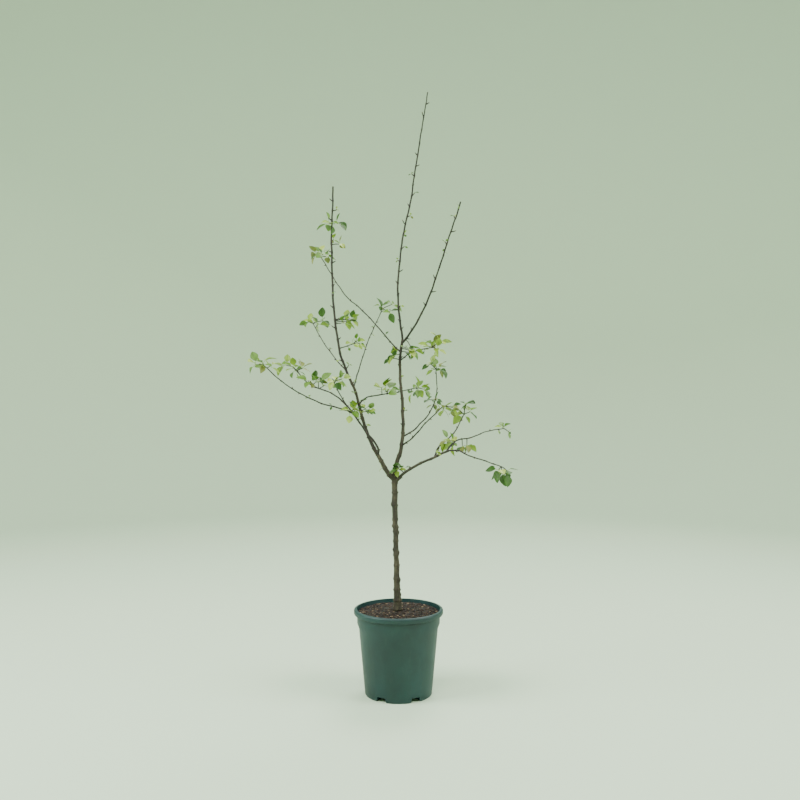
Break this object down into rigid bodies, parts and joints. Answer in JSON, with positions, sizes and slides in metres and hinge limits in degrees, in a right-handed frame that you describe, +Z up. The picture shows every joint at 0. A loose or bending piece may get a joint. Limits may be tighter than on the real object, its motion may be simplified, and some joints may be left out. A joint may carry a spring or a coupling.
{
  "type": "potted apple tree",
  "caption": "Young fruit tree with a slim forked trunk and open, sparse spring leaves in a round nursery pot with drainage notches.",
  "frame": {"origin": "centre of the pot's flat underside", "axes": "+Z up the trunk; -Y towards the viewer of the tree's broad side, with +X to the right"},
  "size_m": [0.6292, 0.4318, 1.5012],
  "materials": {
    "pot_plastic": "satin",
    "potting_soil": "matte",
    "trunk_bark": "matte",
    "limb_bark": "matte",
    "young_leaves": "matte"
  },
  "bodies": {
    "root": {"pot": "pot_plastic", "soil": "potting_soil", "trunk": "trunk_bark", "leader_lower": "limb_bark", "leader_upper": "limb_bark", "leader_fork_shoot": "limb_bark", "leader_long_shoot": "limb_bark", "leader_top_shoot": "limb_bark", "leader_back_shoot": "limb_bark", "leader_front_shoot": "limb_bark", "left_bough_lower": "limb_bark", "left_bough_upper": "limb_bark", "left_bough_outer_shoot": "limb_bark", "left_bough_twig": "limb_bark", "left_bough_back_shoot": "limb_bark", "left_bough_cross_shoot": "limb_bark", "left_arm": "limb_bark", "left_arm_low_shoot": "limb_bark", "left_arm_short_shoot": "limb_bark", "right_bough": "limb_bark", "right_bough_tip": "limb_bark", "right_rising_shoot": "limb_bark", "right_outer_shoot": "limb_bark", "leaves_low_shoot_tip": "young_leaves", "leaves_arm_tip": "young_leaves", "leaves_arm_middle": "young_leaves", "leaves_short_shoot_tip": "young_leaves", "leaves_outer_shoot_tip": "young_leaves", "leaves_left_bough_middle": "young_leaves", "leaves_long_shoot_tip": "young_leaves", "leaves_left_bough_top": "young_leaves", "leaves_left_bough_spur": "young_leaves", "leaves_left_back_tip": "young_leaves", "leaves_cross_shoot_middle": "young_leaves", "leaves_cross_shoot_tip": "young_leaves", "leaves_leader_right": "young_leaves", "leaves_leader_left": "young_leaves", "leaves_top_shoot_tip": "young_leaves", "leaves_back_shoot_tip": "young_leaves", "leaves_back_shoot_middle": "young_leaves", "leaves_front_shoot_tip": "young_leaves", "leaves_rising_shoot_tip": "young_leaves", "leaves_rising_shoot_foot": "young_leaves", "leaves_outer_right_middle": "young_leaves", "leaves_outer_right_tip": "young_leaves", "leaves_right_bough_tip": "young_leaves", "leaves_fork": "young_leaves", "leaves_cross_shoot_foot": "young_leaves", "leaves_arm_foot": "young_leaves", "leaves_twig_tip": "young_leaves"}
  },
  "joints": []
}
